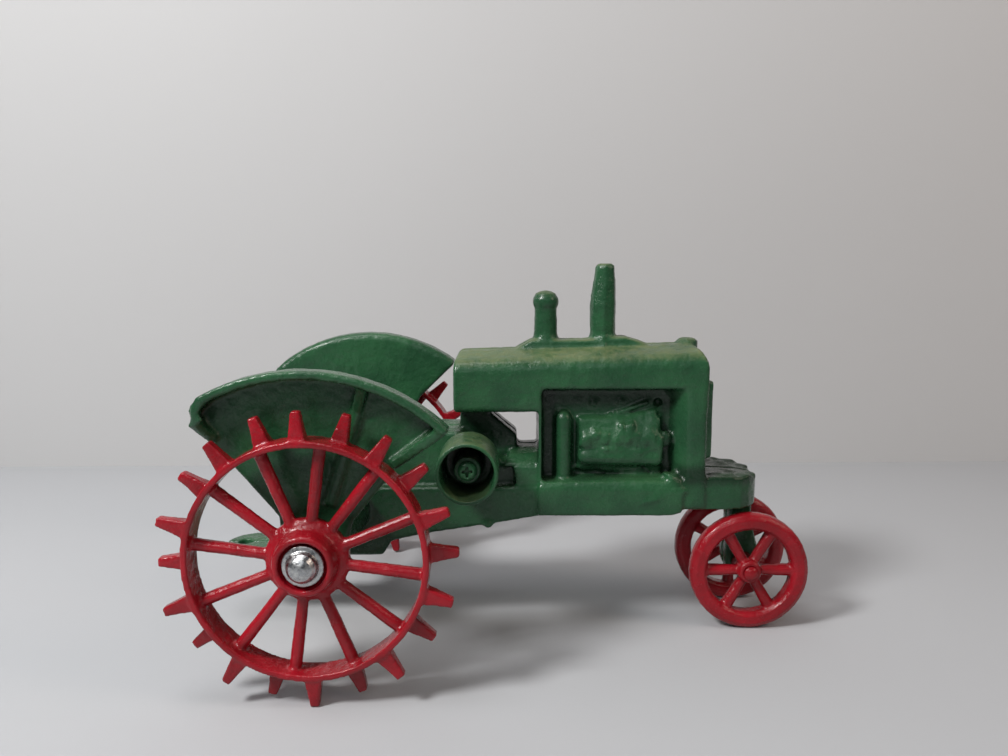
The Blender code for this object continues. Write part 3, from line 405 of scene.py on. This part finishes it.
def frame_marks(side):
    """Scars and sand lumps on the rail, the bolster and the case."""
    y = side * (RAIL_SIDE - 0.5 * MM)
    yield lump((along(97.0), y, 42.6 * MM), (4.2, 1.0, 1.0), -0.35, 0.4, 2.0 + side)
    yield bar((along(88.0), y, 46.4 * MM), (along(107.0), y, 45.2 * MM), 1.0)
    yield bar((along(63.0), side * HOOD_SIDE, 47.6 * MM), (along(105.0), side * HOOD_SIDE, 47.2 * MM), 1.3)
    yield lump((along(45.9), side * 13.8 * MM, 34.6 * MM), (1.7, 1.7, 1.5), 0.0, 0.1, 4.0)
    for index, (x, across, z) in enumerate(((118.5, 9.0, 49.1), (122.0, 5.0, 49.0), (126.0, 9.5, 48.7),
                                             (129.0, 5.5, 48.0), (121.0, 11.0, 49.0))):
        yield lump((along(x), side * across * MM, z * MM), (2.8, 2.2, 0.9), 0.0, 0.5, index * 0.9 + side)


def fender_corner(side):
    """The bead that carries the flange round the fender's rear corner and down its edge."""
    turn = FENDER_TURN if side == LEFT else 0.0
    pivot = Vector((along(-1.2), 0.0, 34.0 * MM))
    places = []
    for x, out, z in ((-28.3, 57.4, 77.8), (-28.6, 57.2, 75.4), (-26.6, 55.2, 72.4)):
        place = Vector((along(x), side * out * MM, z * MM)) - pivot
        places.append(Matrix.Rotation(turn, 3, "Y") @ place + pivot)
    for start, end in zip(places, places[1:]):
        yield bar(start, end, 2.5)


def front_pillar(place):
    """Whether a point is on the rounded pillar between the engine recess and the radiator."""
    return place.x > along(103.5) and 50 * MM < place.z < 76 * MM and abs(place.y) > 2 * MM


def castings():
    for side, label in ((RIGHT, "right"), (LEFT, "left")):
        relief = [*engine_lumps(side), *hood_seams(side), *frame_marks(side), *fender_corner(side)]
        cast(f"casting_{label}", "chassis", GREEN, [f"body_{label}"], relief, 0.63, 2, 0.28,
             (front_pillar, 7))
    cast("pulley_cup", "belt_pulley", GREEN_PULLEY, ["belt_pulley"], (), 0.36, 3, 0.12)
    cast("pulley_screw_cross", "chassis", GREEN, ["pulley_screw"], (), 0.24, 2)


# ---------------------------------------------------------------- wheels and nuts
def wheels():
    for label in ("right", "left"):
        rear, front = f"rear_wheel_{label}", f"front_wheel_{label}"
        cast(f"steel_wheel_{label}", rear, RED, [rear], (), 0.43, 3, 0.2)
        cast(f"guide_wheel_{label}", front, RED, [front], (), 0.38, 3, 0.18)
        cast(f"domed_nut_{label}", "chassis", ZINC, [f"push_nut_{label}"], (), 0.18, 2)
    cast("peened_axle", "chassis", RED, ["front_axle"], (), 0.26, 3)
    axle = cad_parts["rear_axle"]
    axle.data.materials.clear()
    axle.data.materials.append(STEEL)


# ---------------------------------------------------------------- floor, wall, light and camera
FLOOR_HALF = 1.6
WALL_DISTANCE = 0.205
WALL_TURN = math.radians(0.9)
CAMERA_PLACE = Vector((0.0003, -0.2755, 0.1176))
CAMERA_LENS = 30.75
CAMERA_PITCH = math.radians(8.03)
CAMERA_YAW = math.radians(0.49)
CAMERA_ROLL = math.radians(-0.22)


def paper(name, colour, variation):
    """Matt paper with a faint, soft variation of tone."""
    made = Nodes(name)
    tone = made.noise(2.5, 2.0, 0.5)
    darker = tuple(part * (1.0 - variation) for part in colour)
    made.link(made.mix(made.ramp(tone, 0.3, 0.7), darker, colour), made.shader.inputs["Base Color"])
    made.shader.inputs["Roughness"].default_value = 0.85
    made.shader.inputs["Specular IOR Level"].default_value = 0.2
    fibre = made.noise(900.0, 3.0, 0.6)
    made.link(made.bump(fibre, 0.0001, 0.25), made.shader.inputs["Normal"])
    return made.material


def sheet(name, corners, material):
    bm = bmesh.new()
    bm.faces.new([bm.verts.new(corner) for corner in corners])
    bmesh.ops.subdivide_edges(bm, edges=bm.edges, cuts=8, use_grid_fill=True)
    item = from_bmesh(bm, name)
    item.data.materials.append(material)
    return item


def room():
    reach = FLOOR_HALF
    sheet("floor", [(-reach, -reach, 0), (reach, -reach, 0), (reach, reach, 0), (-reach, reach, 0)],
          paper("floor_paper", (0.455, 0.465, 0.48), 0.03))
    wall = sheet("wall", [(-reach, 0, -0.001), (reach, 0, -0.001), (reach, 0, 1.4), (-reach, 0, 1.4)],
                 paper("wall_paper", (0.545, 0.545, 0.545), 0.03))
    wall.matrix_world = Matrix.Translation((0, WALL_DISTANCE, 0)) @ Matrix.Rotation(WALL_TURN, 4, "Z")


def area(name, place, target, size, power, colour):
    lamp = bpy.data.lights.new(name, "AREA")
    lamp.shape = "DISK"
    lamp.size = size
    lamp.energy = power
    lamp.color = colour
    item = link(bpy.data.objects.new(name, lamp))
    item.location = place
    item.rotation_euler = (Vector(target) - Vector(place)).to_track_quat("-Z", "Y").to_euler()
    return item


def light():
    world = bpy.data.worlds.new("studio")
    world.use_nodes = True
    world.node_tree.nodes["Background"].inputs["Color"].default_value = (0.92, 0.95, 1.0, 1.0)
    world.node_tree.nodes["Background"].inputs["Strength"].default_value = 0.13
    bpy.context.scene.world = world
    middle = (0.0, 0.0, 0.04)
    area("key", (-0.42, -0.33, 0.55), middle, 0.16, 4.7, (1.0, 0.99, 0.98))
    area("fill", (-0.10, -0.75, 0.60), middle, 0.5, 0.8, (0.95, 0.97, 1.0))
    area("wash", (-0.15, -0.10, 0.75), (0.05, WALL_DISTANCE, 0.16), 0.3, 1.3, (1.0, 0.99, 1.0))
    area("warm", (0.60, -0.25, 0.50), (0.30, 0.2, 0.15), 0.3, 1.1, (1.0, 0.80, 0.66))


def camera():
    data = bpy.data.cameras.new("camera")
    data.lens = CAMERA_LENS
    data.sensor_width = 36.0
    data.clip_start = 0.01
    data.clip_end = 10.0
    item = link(bpy.data.objects.new("camera", data))
    item.matrix_world = (Matrix.Translation(CAMERA_PLACE) @ Matrix.Rotation(CAMERA_YAW, 4, "Z")
                         @ Matrix.Rotation(math.pi / 2 - CAMERA_PITCH, 4, "X")
                         @ Matrix.Rotation(CAMERA_ROLL, 4, "Z"))
    bpy.context.scene.camera = item


castings()
wheels()
room()
light()
camera()
bpy.context.scene.view_settings.view_transform = "Standard"
